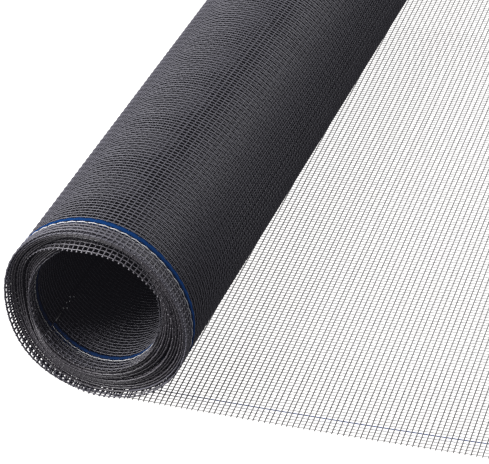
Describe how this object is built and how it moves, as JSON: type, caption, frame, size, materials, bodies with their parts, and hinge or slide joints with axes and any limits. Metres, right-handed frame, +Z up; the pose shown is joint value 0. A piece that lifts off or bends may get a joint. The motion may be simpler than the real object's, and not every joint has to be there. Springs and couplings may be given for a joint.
{
  "type": "roll of fibreglass insect screen",
  "caption": "Hollow spiral-wound roll of charcoal insect-screen net with uneven ends, and a loose end of the same net lying flat beside it.",
  "frame": {"origin": "middle of the flat spot under the roll, halfway along its length", "axes": "+Z up from the surface it lies on, +Y along the roll's axis away from the selvedge with the marker yarns, +X towards the loose end"},
  "size_m": [0.2167, 0.6044, 0.0531],
  "materials": {
    "screen_net": "charcoal PVC-coated glass yarn, satin, woven open 18 by 16 per inch",
    "blue_marker": "blue PVC-coated marker yarn woven in along the selvedge",
    "white_marker": "white marker yarn beside the blue one"
  },
  "bodies": {
    "root": {"wound_roll": "screen_net", "loose_end": "screen_net"}
  },
  "joints": []
}
